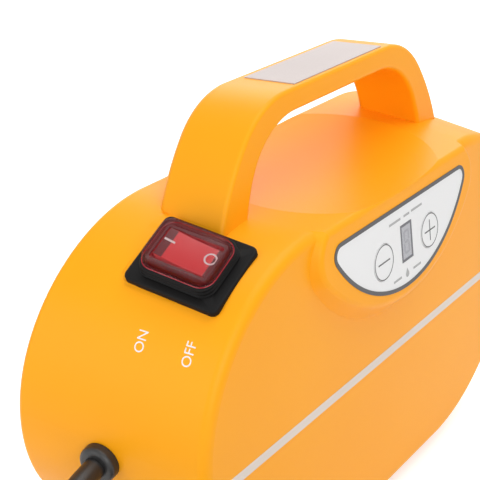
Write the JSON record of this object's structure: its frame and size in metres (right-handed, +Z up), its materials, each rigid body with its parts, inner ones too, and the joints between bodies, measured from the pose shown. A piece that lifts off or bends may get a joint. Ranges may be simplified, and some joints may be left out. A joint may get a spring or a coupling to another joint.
{
  "type": "steam generator housing unit",
  "caption": "Portable steamer base unit: a flat standing moulded housing with an arched carry handle, a sloping button panel with a display, a sealed rocker switch and a free power cord.",
  "frame": {"origin": "on the standing plane under the feet, midway between them from left to right", "axes": "+X to the right along the front, +Y from the front to the back, +Z up from the feet to the handle"},
  "size_m": [0.3928, 0.2038, 0.1861],
  "materials": {
    "orange_shell": "satin orange moulding",
    "black_plastic": "satin black moulding",
    "foot_rubber": "soft matt black",
    "steel_screw": "zinc plated",
    "label_film": "pale grey film",
    "panel_film": "pale grey printed film",
    "panel_edge": "dark grey",
    "button_face": "pale grey film",
    "display_lens": "smoked grey",
    "electronics": "green laminate",
    "switch_cap": "clear cap",
    "switch_collar": "soft black",
    "rocker_red": "translucent red",
    "contact_brass": "bare",
    "cord_jacket": "smooth black",
    "cast_aluminium": "as cast",
    "bracket_steel": "zinc plated",
    "hose_silicone": "milky",
    "nickel_brass": "nickel plated",
    "pump_body": "black",
    "white_ceramic": "white"
  },
  "bodies": {
    "unit": {"housing": "orange_shell", "feet": "foot_rubber", "foot_screws": "steel_screw", "rear_cover": "orange_shell", "rear_cover_screws": "steel_screw", "handle_label": "label_film", "panel_bezel": "panel_edge", "panel_overlay": "panel_film", "display_window": "display_lens", "display_module": "electronics", "button_switches": "black_plastic", "control_board": "electronics", "control_board_screws": "steel_screw", "switch_base": "switch_collar", "switch_cap": "switch_cap", "switch_body": "black_plastic", "switch_terminals": "contact_brass", "cord_gland": "black_plastic", "gland_nut": "black_plastic", "power_cord": "cord_jacket", "cord_coil": "cord_jacket", "plug_body": "black_plastic", "plug_pins": "nickel_brass", "steam_outlet": "nickel_brass", "outlet_nut": "nickel_brass", "water_inlet": "nickel_brass", "inlet_nut": "nickel_brass", "heater_block": "cast_aluminium", "heater_straps": "bracket_steel", "heater_screws": "steel_screw", "thermostat": "black_plastic", "thermal_fuse": "white_ceramic", "heater_terminals": "contact_brass", "pump": "pump_body", "pump_bracket": "bracket_steel", "pump_screws": "steel_screw", "inlet_hose": "hose_silicone", "feed_hose": "hose_silicone", "steam_pipe": "hose_silicone", "terminal_block": "white_ceramic", "inner_lead": "cord_jacket"},
    "rocker": {"switch_rocker": "rocker_red"},
    "minus_key": {"minus_button": "button_face"},
    "plus_key": {"plus_button": "button_face"}
  },
  "joints": [
    {"name": "rocker_tilt", "type": "hinge", "parent": "unit", "child": "rocker", "pos_m": [-0.09222, -0.00074, 0.13872], "axis": [-0.887, 0, -0.4617], "range_deg": [0, 16]},
    {"name": "minus_press", "type": "slide", "parent": "unit", "child": "minus_key", "axis": [0, 0.9766, -0.2151], "range_m": [0, 0.0006], "stiffness_N_per_m": 800},
    {"name": "plus_press", "type": "slide", "parent": "unit", "child": "plus_key", "axis": [0, 0.9766, -0.2151], "range_m": [0, 0.0006], "stiffness_N_per_m": 800}
  ]
}
